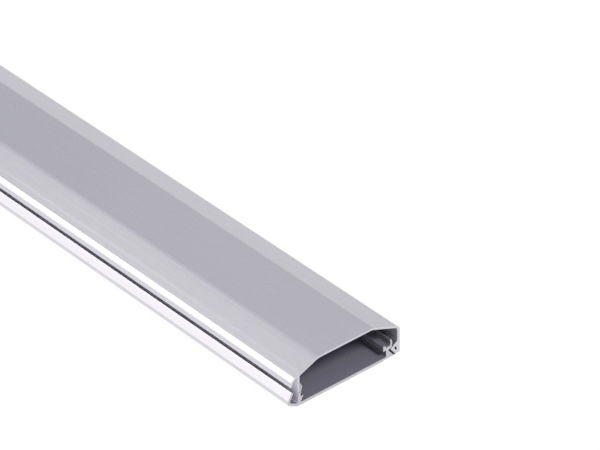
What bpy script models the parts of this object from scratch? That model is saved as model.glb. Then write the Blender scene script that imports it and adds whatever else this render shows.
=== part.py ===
# Cable cover in two extruded aluminium profiles: a base that is fixed to the wall or floor,
# and a cover with sloping sides that clips onto it over the cables.
#
# Each profile is one outline, drawn as corners with fillets and extruded along the length.
# The frame is in metres: X across the width, Y along the length, Z up from the underside,
# with the origin in the middle of the underside. The outlines are drawn in millimetres,
# with x counted from the cover's left edge and z from the underside.
import math

import bmesh
import bpy
from mathutils import Vector

MM = 0.001

# Driving dimensions, in millimetres
LENGTH = 750.0
COVER_WIDTH = 60.0
HEIGHT = 20.0
FLAT_WIDTH = 30.0
SHOULDER_HEIGHT = 14.0
SHEET = 1.0
FLOOR = 1.5
SIDE_WALL = 1.4
RUNNING_GAP = 0.3

# Rounding of the outlines, in millimetres
SHOULDER_RADIUS = 3.0
CURL_RADIUS = 3.9
KINK_RADIUS = 6.0
LIP_RADIUS = 2.0
FINE = 0.1
CRISP = 0.2
SOFT = 0.4
ARC_STEP = math.radians(10)

# The cover's slope: the side facets fall from the kinks to the shoulders
KINK = (COVER_WIDTH - FLAT_WIDTH) / 2
SLOPE = (HEIGHT - SHOULDER_HEIGHT) / KINK
SHEET_DROP = SHEET * math.sqrt(1 + SLOPE * SLOPE)
INNER_KINK = KINK + (SHEET_DROP - SHEET) / SLOPE

# The cover's left edge: a curl to pull it open by, and a leg with a small bead
CURL_TIP = 11.1
LEG_LEFT = 4.0
LEG_RIGHT = 5.0
LEG_FOOT = 6.7
BEAD_HEIGHT = 9.2
BEAD_REACH = 0.3
BEAD_HALF = 0.45

# The cover's right edge: a wall down to the foot, with a thick catch inside it
COVER_FOOT = 0.85
CATCH_LEDGE = 7.15
CATCH_HEEL = 1.25
PORT_CENTRE = (57.7, 3.55)
PORT_WIDTH = 1.0
PORT_LENGTH = 1.9
PORT_LEAN = math.radians(24)

# The base's left edge: a lip that mirrors the cover's slope, and a barbed upright
FLOOR_LEFT = 3.7
LIP_CORNER = Vector((-2.25, 3.06))
LIP_TOP = 8.4
LIP_FLOOR = 1.2
LIP_WALL = 1.1
LIP_ANGLE = math.radians(60)
LIP_TIP_SLANT = 0.35
UPRIGHT_LEFT = 4.1
UPRIGHT_RIGHT = 5.45
BARB_REACH = 6.4
BARB_TOP = 10.9

# The base's right edge: a post with a wedge and its toe, a double bead and a springy finger
STEP = 50.7
STEP_RISE = 0.4
POST_LEFT = 52.4
POST_RIGHT = 53.85
WEDGE_TOE = 58.1
TOE_HEIGHT = 0.68
ARM_UNDER = 4.8
ARM_TOP = 6.3
FINGER_TOP = 9.4
FINGER_WIDTH = 0.95

# Colours, as the base colour of a bare metal
COVER_COLOUR = (0.62, 0.61, 0.65, 1.0)
BASE_COLOUR = (0.58, 0.57, 0.61, 1.0)
METAL_ROUGHNESS = 0.38


def clear_scene():
    for item in list(bpy.data.objects):
        bpy.data.objects.remove(item, do_unlink=True)


def facet_underside(x):
    """Height of the left facet's lower face at x."""
    return SHOULDER_HEIGHT + SLOPE * x - SHEET_DROP


def cover_outline():
    """The cover's corners, as (x, z, fillet), counter-clockwise seen from the front end."""
    right = COVER_WIDTH
    inside = COVER_WIDTH - SIDE_WALL
    top_face = [
        (right, COVER_FOOT, CRISP),
        (right, SHOULDER_HEIGHT, SHOULDER_RADIUS),
        (right - KINK, HEIGHT, KINK_RADIUS),
        (KINK, HEIGHT, KINK_RADIUS),
        (0, SHOULDER_HEIGHT, CURL_RADIUS),
    ]
    curl = [
        (0, CURL_TIP, CRISP),
        (SHEET, CURL_TIP, CRISP),
        (SHEET, facet_underside(SHEET), CURL_RADIUS - SHEET),
    ]
    leg = [
        (LEG_LEFT, facet_underside(LEG_LEFT), SOFT),
        (LEG_LEFT, LEG_FOOT, CRISP),
        (LEG_RIGHT, LEG_FOOT, CRISP),
        (LEG_RIGHT, BEAD_HEIGHT - BEAD_HALF, 0),
        (LEG_RIGHT + BEAD_REACH, BEAD_HEIGHT, CRISP),
        (LEG_RIGHT, BEAD_HEIGHT + BEAD_HALF, 0),
        (LEG_RIGHT, facet_underside(LEG_RIGHT), SOFT),
    ]
    under_face = [
        (INNER_KINK, HEIGHT - SHEET, KINK_RADIUS - SHEET),
        (right - INNER_KINK, HEIGHT - SHEET, KINK_RADIUS - SHEET),
        (inside, facet_underside(SIDE_WALL), SHOULDER_RADIUS - SHEET),
    ]
    ledge = [
        (inside, CATCH_LEDGE, SOFT),
        (57.1, 6.05, CRISP),
        (56.6, 5.95, CRISP),
    ]
    hook = [
        (55.95, 5.1, CRISP),
        (55.1, ARM_UNDER - RUNNING_GAP, FINE),
        (54.75, ARM_UNDER - RUNNING_GAP, FINE),
        (55.2, 3.9, CRISP),
        (57.25, CATCH_HEEL, SOFT),
        (58.0, COVER_FOOT, CRISP),
    ]
    return top_face + curl + leg + under_face + ledge + hook


def lip_corner_inside():
    """Where the lip's two inner faces meet: both offset inwards from the outer faces."""
    fall = (Vector((FLOOR_LEFT, 0)) - LIP_CORNER).normalized()
    rise = Vector((math.cos(LIP_ANGLE), math.sin(LIP_ANGLE)))
    on_floor = LIP_CORNER + Vector((-fall.y, fall.x)) * LIP_FLOOR
    on_wall = LIP_CORNER + Vector((rise.y, -rise.x)) * LIP_WALL
    along = (on_floor - on_wall).cross(fall) / rise.cross(fall)
    return on_wall + rise * along


def lip():
    """The base's outer lip, from the upright's foot round its rim to the floor's left corner."""
    rise = Vector((math.cos(LIP_ANGLE), math.sin(LIP_ANGLE)))
    inner = lip_corner_inside()
    rim = LIP_CORNER + rise * ((LIP_TOP - LIP_CORNER.y) / rise.y)
    rim_inside = rim + Vector((rise.y, -rise.x)) * LIP_WALL - rise * LIP_TIP_SLANT
    return [
        (UPRIGHT_LEFT, FLOOR, CRISP),
        (FLOOR_LEFT - SOFT, FLOOR + CRISP, CRISP),
        (inner.x, inner.y, LIP_FLOOR),
        (rim_inside.x, rim_inside.y, SOFT),
        (rim.x, rim.y, CRISP),
        (LIP_CORNER.x, LIP_CORNER.y, LIP_RADIUS),
    ]


def barbed_upright():
    """The left upright, from the floor up its inner side and down its outer side."""
    face = LEG_RIGHT + RUNNING_GAP
    shelf = LEG_FOOT - RUNNING_GAP
    recess_half = BEAD_HALF + RUNNING_GAP / 2
    small_hook = [
        (5.6, FLOOR, CRISP),
        (5.6, 2.2, CRISP),
        (6.15, 2.4, CRISP),
        (6.25, 3.4, CRISP),
        (6.9, 3.9, CRISP),
        (6.8, 4.7, CRISP),
        (6.2, 4.45, CRISP),
        (UPRIGHT_RIGHT, 4.4, CRISP),
    ]
    barb = [
        (UPRIGHT_RIGHT, 5.0, CRISP),
        (BARB_REACH, BEAD_HEIGHT, SOFT),
        (face + CRISP, BARB_TOP, 0),
        (face, BARB_TOP, 0),
    ]
    leg_side = [
        (face, BEAD_HEIGHT + recess_half, 0),
        (face + BEAD_REACH, BEAD_HEIGHT, CRISP),
        (face, BEAD_HEIGHT - recess_half, 0),
        (face, shelf, CRISP),
        (UPRIGHT_LEFT, shelf, CRISP),
    ]
    return small_hook + barb + leg_side


def post():
    """The right post, from the wedge's toe up and round the finger and the double bead."""
    finger_left = 55.45 - FINGER_WIDTH
    wedge = [
        (WEDGE_TOE, STEP_RISE, FINE),
        (WEDGE_TOE - 0.3, TOE_HEIGHT, FINE),
        (56.2, TOE_HEIGHT + 0.4, CRISP),
        (POST_RIGHT, 4.1, CRISP),
        (POST_RIGHT, ARM_UNDER, SOFT),
    ]
    finger = [
        (54.9, ARM_UNDER, CRISP),
        (55.55, 5.25, CRISP),
        (55.65, 6.1, CRISP),
        (55.9, 7.3, SOFT),
        (55.45, FINGER_TOP, SOFT),
        (finger_left, FINGER_TOP, SOFT),
        (54.95, 7.3, SOFT),
        (54.4, ARM_TOP, SOFT),
    ]
    double_bead = [
        (52.3, ARM_TOP, SOFT),
        (51.85, 7.45, SOFT),
        (50.7, 7.45, SOFT),
        (50.7, 6.45, SOFT),
        (51.1, 6.15, CRISP),
        (50.75, 5.85, SOFT),
        (50.75, 4.85, SOFT),
        (51.85, 4.85, SOFT),
    ]
    inner_face = [
        (POST_LEFT, ARM_UNDER, SOFT),
        (POST_LEFT, FLOOR, SOFT),
    ]
    return wedge + finger + double_bead + inner_face


def base_outline():
    """The base's corners, as (x, z, fillet), counter-clockwise seen from the front end."""
    underside = [
        (FLOOR_LEFT, 0, SOFT),
        (STEP, 0, CRISP),
        (STEP + STEP_RISE, STEP_RISE, CRISP),
    ]
    return underside + post() + barbed_upright() + lip()


def fillet(before, corner, after, radius):
    """Points of the arc that rounds one corner, or the corner itself where it stays sharp."""
    if radius == 0:
        return [corner]
    back = (before - corner).normalized()
    ahead = (after - corner).normalized()
    opening = back.angle(ahead)
    reach = radius / math.tan(opening / 2)
    centre = corner + (back + ahead).normalized() * (radius / math.sin(opening / 2))
    start = corner + back * reach - centre
    end = corner + ahead * reach - centre
    sweep = start.angle_signed(end)
    steps = max(2, math.ceil(abs(sweep) / ARC_STEP))
    arc = []
    for step in range(steps + 1):
        turn = -sweep * step / steps
        arc.append(centre + Vector((
            start.x * math.cos(turn) - start.y * math.sin(turn),
            start.x * math.sin(turn) + start.y * math.cos(turn),
        )))
    return arc


def rounded(corners):
    """A closed outline with every corner filleted by its own radius."""
    points = []
    count = len(corners)
    for index, (x, z, radius) in enumerate(corners):
        before = Vector(corners[index - 1][:2])
        after = Vector(corners[(index + 1) % count][:2])
        points += fillet(before, Vector((x, z)), after, radius)
    return points


def overall_middle():
    """Half way across the overall width, from the lip's round corner to the cover's right wall."""
    lip_left = min(point.x for point in rounded(base_outline()))
    return (lip_left + COVER_WIDTH) / 2


def extrusion(name, outline, length):
    """One closed outline extruded along Y, centred on the origin, in metres."""
    middle = overall_middle()
    front = -length / 2
    mesh = bpy.data.meshes.new(name)
    shape = bmesh.new()
    corners = [
        shape.verts.new(((point.x - middle) * MM, front * MM, point.y * MM)) for point in outline
    ]
    end_face = shape.faces.new(corners)
    grown = bmesh.ops.extrude_face_region(shape, geom=[end_face])
    far_end = [item for item in grown["geom"] if isinstance(item, bmesh.types.BMVert)]
    bmesh.ops.translate(shape, verts=far_end, vec=(0, length * MM, 0))
    bmesh.ops.recalc_face_normals(shape, faces=shape.faces)
    shape.to_mesh(mesh)
    shape.free()
    mesh.shade_smooth()
    mesh.set_sharp_from_angle(angle=math.radians(30))
    piece = bpy.data.objects.new(name, mesh)
    bpy.context.collection.objects.link(piece)
    return piece


def port_outline():
    """The hollow in the thick catch: a leaning slot with round ends."""
    radius = PORT_WIDTH / 2
    half = (PORT_LENGTH - PORT_WIDTH) / 2
    steps = 8
    points = []
    for end in (1, -1):
        for step in range(steps + 1):
            angle = math.pi * step / steps
            x = end * radius * math.cos(angle)
            z = end * (half + radius * math.sin(angle))
            points.append(Vector((
                PORT_CENTRE[0] + x * math.cos(PORT_LEAN) - z * math.sin(PORT_LEAN),
                PORT_CENTRE[1] + x * math.sin(PORT_LEAN) + z * math.cos(PORT_LEAN),
            )))
    return points


def cut_port(cover):
    """Opens the catch's hollow from end to end."""
    overshoot = 10.0
    cutter = extrusion("port_cutter", port_outline(), LENGTH + overshoot)
    cutter.hide_render = True
    cutter.display_type = "WIRE"
    cut = cover.modifiers.new("Port", "BOOLEAN")
    cut.operation = "DIFFERENCE"
    cut.solver = "EXACT"
    cut.object = cutter


def anodised(name, colour):
    """Satin anodised aluminium."""
    material = bpy.data.materials.new(name)
    material.use_nodes = True
    shader = material.node_tree.nodes["Principled BSDF"]
    shader.inputs["Base Color"].default_value = colour
    shader.inputs["Metallic"].default_value = 1.0
    shader.inputs["Roughness"].default_value = METAL_ROUGHNESS
    return material


def main():
    clear_scene()
    base = extrusion("base", rounded(base_outline()), LENGTH)
    base.data.materials.append(anodised("base_aluminium", BASE_COLOUR))
    cover = extrusion("cover", rounded(cover_outline()), LENGTH)
    cover.data.materials.append(anodised("cover_aluminium", COVER_COLOUR))
    cut_port(cover)


main()
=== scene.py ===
# %% [markdown]
# # A clip-on cable cover
#
# The object is a length of aluminium cable cover: an extruded base that is stuck or screwed down,
# and an extruded cover with sloping sides that clips onto it. Both profiles arrive as finished
# solids. This script gives them deburred rims, satin anodised skins with drawing lines, and
# sawn ends, and sets up the camera, the floor and the light.

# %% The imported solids
import math

import bmesh
import bpy
from mathutils import Matrix, Vector


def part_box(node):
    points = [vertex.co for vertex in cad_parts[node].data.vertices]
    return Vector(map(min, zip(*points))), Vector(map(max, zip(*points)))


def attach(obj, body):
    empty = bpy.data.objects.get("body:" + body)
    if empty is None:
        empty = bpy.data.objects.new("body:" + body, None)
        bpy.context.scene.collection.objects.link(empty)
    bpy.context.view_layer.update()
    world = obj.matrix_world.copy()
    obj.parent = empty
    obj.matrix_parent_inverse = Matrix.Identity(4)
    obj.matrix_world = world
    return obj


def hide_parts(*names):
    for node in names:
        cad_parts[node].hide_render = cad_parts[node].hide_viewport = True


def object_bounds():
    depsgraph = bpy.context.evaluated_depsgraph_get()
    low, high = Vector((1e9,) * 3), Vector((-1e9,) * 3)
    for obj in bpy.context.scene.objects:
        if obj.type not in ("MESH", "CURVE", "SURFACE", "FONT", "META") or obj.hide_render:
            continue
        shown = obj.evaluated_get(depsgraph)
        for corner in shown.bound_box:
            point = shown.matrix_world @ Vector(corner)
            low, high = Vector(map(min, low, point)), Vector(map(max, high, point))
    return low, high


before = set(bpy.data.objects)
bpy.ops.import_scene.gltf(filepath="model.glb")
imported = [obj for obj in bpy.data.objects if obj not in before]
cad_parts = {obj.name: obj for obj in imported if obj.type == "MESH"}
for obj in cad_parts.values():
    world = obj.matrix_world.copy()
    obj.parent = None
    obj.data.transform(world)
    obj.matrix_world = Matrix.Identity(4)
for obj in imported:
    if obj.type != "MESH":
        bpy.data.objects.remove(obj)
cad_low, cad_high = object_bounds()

MM = 0.001
print("solids:", sorted(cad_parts))
print("overall, mm:", [round(side / MM, 1) for side in cad_high - cad_low])

# %% [markdown]
# ## The camera
#
# A long lens from well back makes the cover's edges run nearly parallel. The camera could be
# placed by eye, but its turn, its height and its lens follow from the section's corners and from
# the long edges, so they are stated as angles round one aim point. Orbiting the aim point keeps
# the numbers few and each of them says one thing.

# %% Camera
AIM = Vector((51.8, -286.6, 10.0)) * MM
VIEW_DISTANCE = 1680.0 * MM
VIEW_AZIMUTH = math.radians(-40.24)
VIEW_ELEVATION = math.radians(34.285)
VIEW_ROLL = math.radians(-0.708)
# The lens and the sensor are in millimetres, and what the camera can see is in metres.
FOCAL_LENGTH = 232.36
SENSOR_WIDTH = 36.0
NEAREST_SEEN = 0.05
FARTHEST_SEEN = 50.0


def make_camera():
    """A camera that looks at the aim point from one azimuth and elevation, with a slight roll."""
    level = math.cos(VIEW_ELEVATION)
    back = Vector((
        math.sin(VIEW_AZIMUTH) * level,
        -math.cos(VIEW_AZIMUTH) * level,
        math.sin(VIEW_ELEVATION),
    ))
    right = Vector((0, 0, 1)).cross(back).normalized()
    up = back.cross(right)
    rolled_right = right * math.cos(VIEW_ROLL) + up * math.sin(VIEW_ROLL)
    rolled_up = up * math.cos(VIEW_ROLL) - right * math.sin(VIEW_ROLL)
    turn = Matrix((rolled_right, rolled_up, back)).transposed().to_4x4()
    lens = bpy.data.cameras.new("camera")
    lens.lens = FOCAL_LENGTH
    lens.sensor_width = SENSOR_WIDTH
    lens.sensor_fit = "HORIZONTAL"
    lens.clip_start = NEAREST_SEEN
    lens.clip_end = FARTHEST_SEEN
    camera = bpy.data.objects.new("camera", lens)
    camera.matrix_world = Matrix.Translation(AIM + back * VIEW_DISTANCE) @ turn
    bpy.context.scene.collection.objects.link(camera)
    bpy.context.scene.camera = camera
    return camera


camera = make_camera()
print("camera stands at, mm:", [round(place / MM) for place in camera.location])

# %% [markdown]
# ## Small helpers for node trees
#
# Every material is a tree of nodes. Writing each node and link in full hides what the tree does,
# so short helpers add a node with its settings, feed a socket, and make the few small steps that
# come back in several trees.

# %% Node helpers


def add_node(tree, kind, **settings):
    """Adds one node and sets its properties by name."""
    node = tree.nodes.new(kind)
    for name, value in settings.items():
        setattr(node, name, value)
    return node


def feed(tree, socket, source):
    """Feeds a socket from another socket, or sets it to a plain value."""
    if isinstance(source, bpy.types.NodeSocket):
        tree.links.new(source, socket)
    else:
        socket.default_value = source


def math_node(tree, operation, first, second=0.0):
    """One Math node with its two values, and its result."""
    node = add_node(tree, "ShaderNodeMath", operation=operation)
    feed(tree, node.inputs[0], first)
    feed(tree, node.inputs[1], second)
    return node.outputs[0]


def blend_values(tree, share, low, high):
    """A value that goes from low to high as the share goes from 0 to 1."""
    node = add_node(tree, "ShaderNodeMapRange")
    feed(tree, node.inputs["Value"], share)
    feed(tree, node.inputs["To Min"], low)
    feed(tree, node.inputs["To Max"], high)
    return node.outputs["Result"]


print("node helpers ready")

# %% Helpers for patterns


def soft_fall(tree, value, width):
    """1 where the value is 0 or less, falling softly to 0 at the width."""
    node = add_node(tree, "ShaderNodeMapRange", interpolation_type="SMOOTHSTEP")
    feed(tree, node.inputs["Value"], value)
    feed(tree, node.inputs["From Min"], 0.0)
    feed(tree, node.inputs["From Max"], width)
    feed(tree, node.inputs["To Min"], 1.0)
    feed(tree, node.inputs["To Max"], 0.0)
    return node.outputs["Result"]


def place_on_piece(tree):
    """The place on the piece, in metres from the origin."""
    return add_node(tree, "ShaderNodeTexCoord").outputs["Object"]


def split_place(tree):
    """The X, Y and Z of the place on the piece, by name."""
    split = add_node(tree, "ShaderNodeSeparateXYZ")
    feed(tree, split.inputs["Vector"], place_on_piece(tree))
    return split.outputs


def noise_at(tree, place, scale, detail=2.0):
    """Noise that is read at a place, 0 to 1."""
    node = add_node(tree, "ShaderNodeTexNoise")
    feed(tree, node.inputs["Vector"], place)
    feed(tree, node.inputs["Scale"], scale)
    feed(tree, node.inputs["Detail"], detail)
    return node.outputs["Fac"]


print("pattern helpers ready")

# %% [markdown]
# ## Small helpers for node groups
#
# The die lines, the grain and the cut marks come back in several materials. Each of them is a
# node group with named inputs, built once and placed with its own values, so that a mended
# pattern is mended everywhere. Two helpers open a new group and place it in a material.

# %% Helpers for groups


def new_group(name, inputs, outputs):
    """A shader node group with named inputs, as name and default value, and named outputs."""
    group = bpy.data.node_groups.new(name, "ShaderNodeTree")
    for label, default in inputs.items():
        socket = group.interface.new_socket(label, in_out="INPUT", socket_type="NodeSocketFloat")
        socket.default_value = default
    for label in outputs:
        group.interface.new_socket(label, in_out="OUTPUT", socket_type="NodeSocketFloat")
    given = group.nodes.new("NodeGroupInput")
    result = group.nodes.new("NodeGroupOutput")
    return group, given, result


def place_group(tree, group, **values):
    """Places a shared group in a material, with this material's own values."""
    node = add_node(tree, "ShaderNodeGroup", node_tree=group)
    for label, value in values.items():
        feed(tree, node.inputs[label.replace("_", " ")], value)
    return node


print("group helpers ready")

# %% [markdown]
# ## Drawing lines
#
# An extrusion is pushed through a steel die, and every tiny nick in the die leaves a line along
# the whole length. A scratched image could show them, but a noise stretched along Y does the same
# on every face of the profile at once, at any zoom. One group makes both the broad faint streaks
# and the fine lines: it only needs to be told how many lines there are in a metre.

# %% Group for drawing lines


def drawing_lines_group():
    """Noise stretched along Y: 0 to 1 across the lines, nearly constant along them."""
    group, given, result = new_group(
        "drawing_lines", {"Across": 1000.0, "Along": 2.0, "Detail": 2.0}, ["Lines"]
    )
    stretch = add_node(group, "ShaderNodeCombineXYZ")
    feed(group, stretch.inputs["X"], given.outputs["Across"])
    feed(group, stretch.inputs["Y"], given.outputs["Along"])
    feed(group, stretch.inputs["Z"], given.outputs["Across"])
    scaled = add_node(group, "ShaderNodeVectorMath", operation="MULTIPLY")
    feed(group, scaled.inputs[0], place_on_piece(group))
    feed(group, scaled.inputs[1], stretch.outputs["Vector"])
    lines = noise_at(group, scaled.outputs["Vector"], 1.0, given.outputs["Detail"])
    feed(group, result.inputs["Lines"], lines)
    return group


drawing_lines = drawing_lines_group()
print("group:", drawing_lines.name)

# %% [markdown]
# ## Satin grain
#
# Before it is anodised, the aluminium is etched in caustic soda, which leaves a fine even matt
# grain. Two noises of different size, one for the grain itself and one for slow cloudy changes
# in the bath, keep a large flat face from looking like plastic.

# %% Group for satin grain


def satin_grain_group():
    """An even fine grain and slow clouds, both 0 to 1."""
    group, given, result = new_group(
        "satin_grain", {"Grain": 4000.0, "Clouds": 12.0}, ["Grain", "Clouds"]
    )
    place = place_on_piece(group)
    for label, detail in (("Grain", 3.0), ("Clouds", 2.0)):
        noise = noise_at(group, place, given.outputs[label], detail)
        feed(group, result.inputs[label], noise)
    return group


satin_grain = satin_grain_group()
print("group:", satin_grain.name)

# %% [markdown]
# ## The bright rim at a cut
#
# Where the saw goes through and a file takes off the burr, the anodised layer is gone and raw
# aluminium shows as a thin bright line. The mask only needs the distance from the cut end, which
# is the Y coordinate, so no painting is needed.

# %% Group for the cut rim
RIM_NOISE_SCALE = 900.0


def cut_rim_group():
    """1 at the cut ends, falling to 0 at the rim's width from them, with a ragged border."""
    group, given, result = new_group(
        "cut_rim", {"Half length": 0.375, "Width": 0.0004, "Ragged": 0.0002}, ["Rim"]
    )
    noise = noise_at(group, place_on_piece(group), RIM_NOISE_SCALE)
    off_centre = math_node(group, "SUBTRACT", noise, 0.5)
    shift = math_node(group, "MULTIPLY", off_centre, given.outputs["Ragged"])
    from_middle = math_node(group, "ABSOLUTE", split_place(group)["Y"])
    from_end = math_node(group, "SUBTRACT", given.outputs["Half length"], from_middle)
    ragged = math_node(group, "ADD", from_end, shift)
    rim = soft_fall(group, ragged, given.outputs["Width"])
    feed(group, result.inputs["Rim"], rim)
    return group


cut_rim = cut_rim_group()
print("group:", cut_rim.name)

# %% [markdown]
# ## Saw marks
#
# A chop saw swings its blade down through the profile, so its teeth leave shallow arcs, all
# about the blade's centre. Noise that is read by the distance from that centre gives arcs of
# uneven depth, which a regular wave would not.

# %% Group for saw marks


def saw_marks_group():
    """Uneven arcs about the saw blade's centre, 0 to 1."""
    group, given, result = new_group(
        "saw_marks", {"Centre X": 0.09, "Centre Z": 0.12, "Marks": 2500.0}, ["Marks"]
    )
    place = split_place(group)
    across = math_node(group, "SUBTRACT", place["X"], given.outputs["Centre X"])
    upward = math_node(group, "SUBTRACT", place["Z"], given.outputs["Centre Z"])
    across_squared = math_node(group, "MULTIPLY", across, across)
    upward_squared = math_node(group, "MULTIPLY", upward, upward)
    radius = math_node(group, "SQRT", math_node(group, "ADD", across_squared, upward_squared))
    noise = add_node(group, "ShaderNodeTexNoise", noise_dimensions="1D")
    feed(group, noise.inputs["W"], math_node(group, "MULTIPLY", radius, given.outputs["Marks"]))
    feed(group, noise.inputs["Scale"], 1.0)
    feed(group, noise.inputs["Detail"], 2.0)
    feed(group, result.inputs["Marks"], noise.outputs["Fac"])
    return group


saw_marks = saw_marks_group()
print("group:", saw_marks.name)

# %% [markdown]
# ## The streak over a leg
#
# Where a leg stands under a thin sheet, the metal is thicker and leaves the die a little hotter.
# Its grain etches differently, and after anodising a faint light streak shows on the outer face,
# just over the leg. It follows the section, so it is a soft step in the X coordinate, kept to the
# outer face by a least height.

# %% Group for the streak over a leg


def leg_streak_group():
    """1 over the leg, falling to 0 at the reach on both sides, and 0 below the least height."""
    group, given, result = new_group(
        "leg_streak", {"Leg X": 0.0, "Reach": 0.0014, "Least height": 0.0}, ["Streak"]
    )
    place = split_place(group)
    across = math_node(group, "SUBTRACT", place["X"], given.outputs["Leg X"])
    distance = math_node(group, "ABSOLUTE", across)
    fall = soft_fall(group, distance, given.outputs["Reach"])
    outside = math_node(group, "GREATER_THAN", place["Z"], given.outputs["Least height"])
    streak = math_node(group, "MULTIPLY", fall, outside)
    feed(group, result.inputs["Streak"], streak)
    return group


leg_streak = leg_streak_group()
print("group:", leg_streak.name)

# %% [markdown]
# ## What the metals share
#
# The anodised skin and the bare sawn end are the same aluminium, and on both the tone, the
# roughness and the height vary a little from spot to spot. Each could be written out in full,
# but then a change would have to be made twice, so what they share is made once, in helpers.

# %% Helpers for metals
# A Mix node's colour sockets share their names with its number sockets, so they go by place.
MIX_LOW, MIX_HIGH, MIX_RESULT = 6, 7, 2


def new_metal(name, metallic=1.0):
    """A new Principled material with its share of metal, its tree and its shader."""
    material = bpy.data.materials.new(name)
    material.use_nodes = True
    shader = material.node_tree.nodes["Principled BSDF"]
    shader.inputs["Metallic"].default_value = metallic
    return material, material.node_tree, shader


def scaled_colour(tree, colour, factor):
    """A plain colour brightened or darkened by a factor that changes over the surface."""
    node = add_node(tree, "ShaderNodeVectorMath", operation="SCALE")
    node.inputs[0].default_value = colour[:3]
    feed(tree, node.inputs["Scale"], factor)
    return node.outputs["Vector"]


def mix_colours(tree, share, low, high):
    """A colour that goes from low to high as the share goes from 0 to 1."""
    node = add_node(tree, "ShaderNodeMix", data_type="RGBA")
    feed(tree, node.inputs["Factor"], share)
    feed(tree, node.inputs[MIX_LOW], low)
    feed(tree, node.inputs[MIX_HIGH], high)
    return node.outputs[MIX_RESULT]


def varied_tone(tree, ranges):
    """A factor near 1: the product of several masks, each between its own low and high."""
    tone = 1.0
    for mask, (low, high) in ranges:
        tone = math_node(tree, "MULTIPLY", tone, blend_values(tree, mask, low, high))
    return tone


def varied_roughness(tree, roughness, mask, mask_change, grain, grain_change):
    """The roughness, changed to both sides by a mask and by the grain."""
    from_mask = blend_values(tree, mask, roughness - mask_change, roughness + mask_change)
    from_grain = blend_values(tree, grain, -grain_change, grain_change)
    return math_node(tree, "ADD", from_mask, from_grain)


def bump_node(tree, height, depth, under=None):
    """A bump of the given depth in metres, laid over another one."""
    node = add_node(tree, "ShaderNodeBump")
    feed(tree, node.inputs["Height"], height)
    feed(tree, node.inputs["Strength"], 1.0)
    feed(tree, node.inputs["Distance"], depth)
    if under is not None:
        feed(tree, node.inputs["Normal"], under)
    return node.outputs["Normal"]


print("helpers for metals ready")

# %% [markdown]
# ## Satin anodised skin
#
# Silver anodising is a thin clear oxide over etched aluminium. It still reflects as a metal, only
# softly and a little cool, so it is a metallic Principled shader of fairly low roughness. A plain
# one would do from far off, but close up the drawing lines show. They change its colour and
# roughness a little and raise a bump of a few thousandths of a millimetre; the grain breaks up
# the highlight.

# %% Skin material
HALF_LENGTH = max(cad_high.y, -cad_low.y)
COVER_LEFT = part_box("cover")[0].x
LEG_FROM_LEFT = 5.2 * MM
OUTER_FACE_HEIGHT = 15.4 * MM
RAW_COLOUR = (0.72, 0.715, 0.75, 1.0)
RAW_RIM = 0.5 * MM
RAGGED_SHARE = 0.6
STREAK_TONES = (0.98, 1.02)
LINE_TONES = (0.975, 1.025)
CLOUD_TONES = (0.975, 1.025)
LINE_ROUGHNESS = 0.05
GRAIN_ROUGHNESS = 0.04
LINE_DEPTH = 0.004 * MM
STREAK_DEPTH = 0.008 * MM
GRAIN_DEPTH = 0.0015 * MM


def anodised_skin(name, colour, roughness, metallic=1.0, streak=0.0, rim_width=RAW_RIM):
    """Satin silver anodised aluminium with die lines along Y and a raw rim at the cut ends."""
    material, tree, shader = new_metal(name, metallic)
    streaks = place_group(tree, drawing_lines, Across=450.0, Along=1.2, Detail=3.0)
    lines = place_group(tree, drawing_lines, Across=4200.0, Along=6.0, Detail=2.0)
    grain = place_group(tree, satin_grain, Grain=5200.0, Clouds=14.0)
    ragged = rim_width * RAGGED_SHARE
    rim = place_group(tree, cut_rim, Half_length=HALF_LENGTH, Width=rim_width, Ragged=ragged)
    leg = COVER_LEFT + LEG_FROM_LEFT
    over_leg = place_group(tree, leg_streak, Leg_X=leg, Least_height=OUTER_FACE_HEIGHT)
    tone = varied_tone(tree, (
        (streaks.outputs["Lines"], STREAK_TONES),
        (lines.outputs["Lines"], LINE_TONES),
        (grain.outputs["Clouds"], CLOUD_TONES),
        (over_leg.outputs["Streak"], (1.0, 1.0 + streak)),
    ))
    skin_colour = scaled_colour(tree, colour, tone)
    with_rim = mix_colours(tree, rim.outputs["Rim"], skin_colour, RAW_COLOUR)
    feed(tree, shader.inputs["Base Color"], with_rim)
    skin_roughness = varied_roughness(
        tree, roughness,
        lines.outputs["Lines"], LINE_ROUGHNESS,
        grain.outputs["Grain"], GRAIN_ROUGHNESS,
    )
    feed(tree, shader.inputs["Roughness"], skin_roughness)
    fine = bump_node(tree, lines.outputs["Lines"], LINE_DEPTH)
    broad = bump_node(tree, streaks.outputs["Lines"], STREAK_DEPTH, under=fine)
    grained = bump_node(tree, grain.outputs["Grain"], GRAIN_DEPTH, under=broad)
    feed(tree, shader.inputs["Normal"], grained)
    return material


cover_skin = anodised_skin("cover_skin", (0.66, 0.652, 0.711, 1.0), roughness=0.20, streak=0.022)
base_skin = anodised_skin("base_skin", (0.66, 0.652, 0.705, 1.0), roughness=0.20)
print("outer skins:", cover_skin.name, base_skin.name)

# %% [markdown]
# ## Painted shade and light inside the recesses
#
# Much less light reaches into a long narrow profile than onto its outer faces, and its inner
# faces are given colours darker than the outer skin and a more matt surface; the darker colour is
# painted shade. One skin for all faces would be simpler, but a clean metal inside the duct
# mirrors the pale room and looks far too bright. So the same skin is used several more times,
# mostly with less metal in it, which spreads the light that comes in at the cut end: for the
# cable space, the post and its finger, the hollow behind the curl, the groove under the lip and
# the slots of the catch. Only the hollow is given a colour lighter than the outer skin, which is
# painted light, because hardly any light reaches it. The raw rim that filing leaves is a hair
# wide in there.

# %% Recess skins with painted shade and light
RECESS_RIM = 0.08 * MM


def recess_skin_with_painted_light(name, colour, roughness, metallic):
    """The skin inside a recess, with a colour that paints its shade or light, and a raw rim only
    a hair wide.
    """
    return anodised_skin(name, colour, roughness, metallic, rim_width=RECESS_RIM)


# Painted shade: the duct, the post and its finger are darker than the outer skin, because little
# light reaches in.
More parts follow.
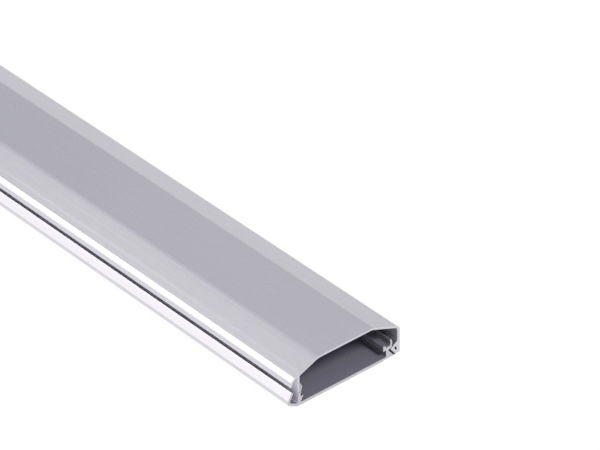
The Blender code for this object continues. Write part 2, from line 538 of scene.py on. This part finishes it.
cover_duct_painted_shade = recess_skin_with_painted_light("cover_duct_painted_shade", (0.49, 0.48, 0.54, 1.0), roughness=0.50, metallic=0.5)
base_duct_painted_shade = recess_skin_with_painted_light("base_duct_painted_shade", (0.255, 0.247, 0.32, 1.0), roughness=0.50, metallic=0.5)
base_post_painted_shade = recess_skin_with_painted_light("base_post_painted_shade", (0.22, 0.217, 0.24, 1.0), roughness=0.50, metallic=0.5)
# Painted light: the hollows are lighter than the outer skin, because hardly any light reaches
# them.
cover_hollow_painted_light = recess_skin_with_painted_light("cover_hollow_painted_light", (0.90, 0.88, 0.96, 1.0), roughness=0.50, metallic=0.2)
base_hollow_painted_light = recess_skin_with_painted_light("base_hollow_painted_light", (0.92, 0.90, 0.99, 1.0), roughness=0.45, metallic=0.3)
# Painted shade: the grooves and the slots are darker than the outer skin.
cover_groove_painted_shade = recess_skin_with_painted_light("cover_groove_painted_shade", (0.30, 0.29, 0.35, 1.0), roughness=0.35, metallic=1.0)
base_groove_painted_shade = recess_skin_with_painted_light("base_groove_painted_shade", (0.46, 0.443, 0.53, 1.0), roughness=0.35, metallic=0.8)
cover_slot_painted_shade = recess_skin_with_painted_light("cover_slot_painted_shade", (0.17, 0.165, 0.20, 1.0), roughness=0.45, metallic=0.5)
base_slot_painted_shade = recess_skin_with_painted_light("base_slot_painted_shade", (0.22, 0.21, 0.26, 1.0), roughness=0.45, metallic=0.5)
print("recess skins:", cover_duct_painted_shade.name, cover_hollow_painted_light.name, cover_groove_painted_shade.name, cover_slot_painted_shade.name)
print("and for the base:", base_duct_painted_shade.name, base_hollow_painted_light.name, base_groove_painted_shade.name, base_slot_painted_shade.name)
print("and for its post:", base_post_painted_shade.name)

# %% [markdown]
# ## Sawn end
#
# The cut face is bare metal, scored by the saw and a bit smeared, so it is more matt than the
# anodised skin. Its bump is deeper than the die lines, because saw teeth cut deeper than a die
# scratches. Both share the helpers above, so only the saw's own values are new here.

# %% Cut material
MARK_TONES = (0.86, 1.12)
SMEAR_TONES = (0.94, 1.06)
# The tops of the marks are rubbed smooth, so their roughness falls as the mark rises.
MARK_ROUGHNESS = -0.08
SMEAR_ROUGHNESS = 0.05
MARK_DEPTH = 0.02 * MM
SMEAR_DEPTH = 0.004 * MM


def sawn_end(name, colour, roughness):
    """Bare aluminium as a chop saw leaves it."""
    material, tree, shader = new_metal(name)
    marks = place_group(tree, saw_marks, Marks=2600.0)
    grain = place_group(tree, satin_grain, Grain=7000.0, Clouds=150.0)
    tone = varied_tone(tree, (
        (marks.outputs["Marks"], MARK_TONES),
        (grain.outputs["Clouds"], SMEAR_TONES),
    ))
    feed(tree, shader.inputs["Base Color"], scaled_colour(tree, colour, tone))
    cut_roughness = varied_roughness(
        tree, roughness,
        marks.outputs["Marks"], MARK_ROUGHNESS,
        grain.outputs["Grain"], SMEAR_ROUGHNESS,
    )
    feed(tree, shader.inputs["Roughness"], cut_roughness)
    scored = bump_node(tree, marks.outputs["Marks"], MARK_DEPTH)
    smeared = bump_node(tree, grain.outputs["Grain"], SMEAR_DEPTH, under=scored)
    feed(tree, shader.inputs["Normal"], smeared)
    return material


cover_cut = sawn_end("cover_cut", (0.64, 0.633, 0.675, 1.0), roughness=0.40)
base_cut = sawn_end("base_cut", (0.57, 0.563, 0.605, 1.0), roughness=0.40)
print("cut faces:", cover_cut.name, base_cut.name)

# %% [markdown]
# ## Deburred ends
#
# The solids end in perfectly sharp rims, which no sawn profile has, and a sharp rim catches no
# light. A bevel modifier could round them, but set by angle it would round every long edge too.
# So the solid itself stays as it is, a copy is merged into one closed skin, its flat faces are
# dissolved into whole ones, and a bevel of a tenth of a millimetre runs round each end only.

# %% Deburred copies
MERGE_DISTANCE = 0.001 * MM
FLAT_LIMIT = math.radians(0.5)
DEBURR = 0.12 * MM
DEBURR_STEPS = 4
SQUARE_TO_Y = 0.99


def is_end_face(face):
    """Whether a face is one of the two sawn ends."""
    return abs(face.normal.y) > SQUARE_TO_Y


def merged_copy(node):
    """A bmesh of the solid with its loose triangles joined and its flat faces made whole."""
    shape = bmesh.new()
    shape.from_mesh(node.data)
    bmesh.ops.remove_doubles(shape, verts=shape.verts[:], dist=MERGE_DISTANCE)
    bmesh.ops.dissolve_limit(
        shape, angle_limit=FLAT_LIMIT, verts=shape.verts[:], edges=shape.edges[:]
    )
    return shape


def deburr(shape):
    """Bevels the rims of both sawn ends."""
    rims = [
        edge for edge in shape.edges
        if len(edge.link_faces) == 2
        and is_end_face(edge.link_faces[0]) != is_end_face(edge.link_faces[1])
    ]
    bmesh.ops.bevel(
        shape, geom=rims, offset=DEBURR, offset_type="OFFSET", affect="EDGES",
        segments=DEBURR_STEPS, profile=0.5, material=-1, clamp_overlap=True,
    )
    return len(rims)


print("ends are deburred by, mm:", round(DEBURR / MM, 2))

# %% [markdown]
# ## Which face gets which finish, painted shade or painted light
#
# The outer faces keep the skin, while the recesses get the colours of painted shade and the
# hollow that of painted light. Painting them on by hand would be slow and would have to be done
# again after each change of the section. So each recess is given by its middle: a long face that
# lies within its reach and looks towards that middle gets its painted shade or light, and all
# that is left over is outer skin.

# %% Finishes and painted light by place
END_REACH = 1.5 * DEBURR
SKIN, CUT, DUCT, HOLLOW, GROOVE, SLOT, POST = range(7)

# Each recess in millimetres: its middle, counted from the cover's left edge and up from the
# underside, how far it reaches to both sides, and its finish, which paints shade, or light in the
# hollow. The first that fits counts.
RECESSES = {
    "finger gap": (57.0, 7.5, 1.45, SLOT),
    "post and finger": (47.0, 6.0, 7.9, POST),
    "cable space": (31.75, 10.0, 27.2, DUCT),
    "lip's floor": (1.4, 4.2, 2.4, GROOVE),
    "lip": (2.6, 6.0, 3.6, HOLLOW),
    "catch slot": (54.9, 3.4, 2.2, SLOT),
    "port": (57.7, 3.55, 1.2, GROOVE),
}


def finish_or_painted_light_of(face):
    """Which finish a face has: a sawn end, the painted shade or light of a recess that it faces
    the middle of, or the skin.
    """
    place = face.calc_center_median()
    if abs(place.y) > HALF_LENGTH - END_REACH:
        return CUT
    for across, up, reach, finish_or_painted_light in RECESSES.values():
        from_middle = Vector((place.x - COVER_LEFT - across * MM, 0, place.z - up * MM))
        if abs(from_middle.x) < reach * MM and from_middle.dot(face.normal) < 0:
            return finish_or_painted_light
    return SKIN


print("recesses:", list(RECESSES))

# %% [markdown]
# ## The two pieces
#
# The base and the cover are separate profiles, so each is a piece of its own, with its own set of
# finishes and of painted shade and light. Smooth shading alone would smear the light over the
# wide flat facets. A weighted normal modifier keeps them flat and lets only the narrow arcs bend,
# without adding any faces.

# %% Profile pieces
SHARP_LIMIT = math.radians(32)
# At 50 large and small faces would weigh the same; at 100 the large ones lead.
LARGE_FACES_LEAD = 100


def finished_mesh(shape, name, finishes_and_painted_light):
    """The shape as a mesh with a finish, painted shade or painted light on each face, ready to
    shade evenly.
    """
    shape.normal_update()
    for face in shape.faces:
        face.smooth = True
        face.material_index = finish_or_painted_light_of(face)
    mesh = bpy.data.meshes.new(name)
    for finish_or_painted_light in finishes_and_painted_light:
        mesh.materials.append(finish_or_painted_light)
    shape.to_mesh(mesh)
    shape.free()
    # The solid brings stored normals along, which would override the even ones.
    if "custom_normal" in mesh.attributes:
        mesh.attributes.remove(mesh.attributes["custom_normal"])
    mesh.set_sharp_from_angle(angle=SHARP_LIMIT)
    return mesh


def dressed_profile(node_name, piece_name, finishes_and_painted_light):
    """The solid's copy with deburred ends and a finish, painted shade or painted light on each
    face, standing for the solid.
    """
    shape = merged_copy(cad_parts[node_name])
    rims = deburr(shape)
    mesh = finished_mesh(shape, piece_name, finishes_and_painted_light)
    piece = bpy.data.objects.new(piece_name, mesh)
    bpy.context.scene.collection.objects.link(piece)
    even = piece.modifiers.new("Even normals", "WEIGHTED_NORMAL")
    even.keep_sharp = True
    even.weight = LARGE_FACES_LEAD
    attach(piece, "root")
    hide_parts(node_name)
    print(piece_name, "rim edges:", rims, "faces:", len(mesh.polygons))
    return piece


# The cover has no post, so the faces that fall in its reach keep the painted shade of the cable
# space.
COVER_FINISHES_AND_PAINTED_LIGHT = (
    cover_skin, cover_cut, cover_duct_painted_shade, cover_hollow_painted_light, cover_groove_painted_shade, cover_slot_painted_shade, cover_duct_painted_shade
)
BASE_FINISHES_AND_PAINTED_LIGHT = (base_skin, base_cut, base_duct_painted_shade, base_hollow_painted_light, base_groove_painted_shade, base_slot_painted_shade, base_post_painted_shade)
cover_profile = dressed_profile("cover", "cover_profile", COVER_FINISHES_AND_PAINTED_LIGHT)
base_profile = dressed_profile("base", "base_profile", BASE_FINISHES_AND_PAINTED_LIGHT)
print("pieces:", cover_profile.name, base_profile.name)

# %% [markdown]
# ## The floor
#
# Product pictures of this kind are taken on a white light table, where the ground itself glows
# and swallows the shadow. A plain white sheet would need much stronger lamps and would still
# show a hard shadow, so this floor is mostly a pale glow with a little plain white on top, which
# keeps a faint shadow where the profile touches it. It lies a tenth of a millimetre low, because
# two faces at the very same height show as a mottled mix of both.

# %% Floor
FLOOR_SIZE = 12.0
FLOOR_DROP = 0.1 * MM
FLOOR_GLOW = 0.95
FLOOR_WHITE = 0.06
FLOOR_ROUGHNESS = 0.9


def make_floor():
    """A large level sheet just under the object, part glow and part matt white."""
    sheet = bmesh.new()
    bmesh.ops.create_grid(sheet, x_segments=1, y_segments=1, size=FLOOR_SIZE / 2)
    bmesh.ops.translate(sheet, vec=(0, 0, -FLOOR_DROP), verts=sheet.verts[:])
    mesh = bpy.data.meshes.new("floor")
    sheet.to_mesh(mesh)
    sheet.free()
    floor = bpy.data.objects.new("floor", mesh)
    bpy.context.scene.collection.objects.link(floor)
    material = bpy.data.materials.new("light_table")
    material.use_nodes = True
    shader = material.node_tree.nodes["Principled BSDF"]
    shader.inputs["Base Color"].default_value = (FLOOR_WHITE, FLOOR_WHITE, FLOOR_WHITE, 1.0)
    shader.inputs["Roughness"].default_value = FLOOR_ROUGHNESS
    shader.inputs["Specular IOR Level"].default_value = 0.0
    shader.inputs["Emission Color"].default_value = (1.0, 1.0, 1.0, 1.0)
    shader.inputs["Emission Strength"].default_value = FLOOR_GLOW
    mesh.materials.append(material)
    return floor


floor = make_floor()
print("the", floor.name, "is", FLOOR_SIZE, "m square")

# %% [markdown]
# ## The light
#
# Metal shows what it reflects, so the light is set by what each face looks towards from the
# camera. An even pale room gives the flat top its grey, and each lamp has one job:
#
# - left back, broad and low: the white bands on the curl and on the lip
# - left top, stronger: the sharp upper border of the curl's white band
# - high back, faint: the left facet, a little lighter than the top
# - right low and right high, faint: the right facet, and the top beside its kink
# - front, small and strong: light into the duct, with a clear edge on its floor
#
# One big lamp would be simpler, but it would turn the whole metal white. The front lamp is kept
# out of mirror images, because it would burn a patch into the top in views from behind. The
# lamps are a little warm, so that the bands are a neutral white on the slightly cool metal.

# %% Room and softboxes
ROOM_GLOW = (0.624, 0.624, 0.637, 1.0)
LAMP_COLOUR = (1.0, 0.985, 0.92)

# Each lamp: azimuth and elevation in degrees, distance, width and height in metres, brightness.
SOFTBOXES = {
    "softbox_left_back": (48.0, 24.0, 6.0, 5.6, 4.2, 0.92),
    "softbox_left_top": (33.5, 45.5, 6.0, 3.0, 2.3, 2.4),
    "softbox_high_back": (0.0, 61.0, 6.0, 5.0, 3.6, 0.13),
    "softbox_right_low": (-42.0, 12.0, 6.0, 3.2, 1.9, 0.17),
    "softbox_right_high": (-56.0, 44.0, 6.0, 3.0, 2.2, 0.07),
}
FRONT_LAMP = (182.0, 47.2, 4.0, 0.9, 0.9, 46.0)


def make_room():
    """An even pale room all round."""
    world = bpy.data.worlds.new("room")
    world.use_nodes = True
    glow = world.node_tree.nodes["Background"]
    glow.inputs["Color"].default_value = ROOM_GLOW
    glow.inputs["Strength"].default_value = 1.0
    bpy.context.scene.world = world


def make_softbox(name, azimuth, elevation, distance, width, height, brightness, mirrored=True):
    """A rectangular lamp that faces the origin; azimuth 0 is behind, at +Y, and 90 at -X."""
    lamp = bpy.data.lights.new(name, "AREA")
    lamp.shape = "RECTANGLE"
    lamp.size = width
    lamp.size_y = height
    lamp.energy = brightness * math.pi * width * height
    lamp.color = LAMP_COLOUR
    turn = math.radians(azimuth)
    lift = math.radians(elevation)
    outward = Vector((
        -math.sin(turn) * math.cos(lift),
        math.cos(turn) * math.cos(lift),
        math.sin(lift),
    ))
    softbox = bpy.data.objects.new(name, lamp)
    softbox.location = outward * distance
    softbox.rotation_euler = outward.to_track_quat("Z", "Y").to_euler()
    softbox.visible_camera = False
    softbox.visible_glossy = mirrored
    bpy.context.scene.collection.objects.link(softbox)
    return softbox


make_room()
lamps = [make_softbox(name, *values) for name, values in SOFTBOXES.items()]
lamps.append(make_softbox("softbox_front", *FRONT_LAMP, mirrored=False))
bpy.context.scene.view_settings.view_transform = "Standard"
print("lamps:", [lamp.name for lamp in lamps])
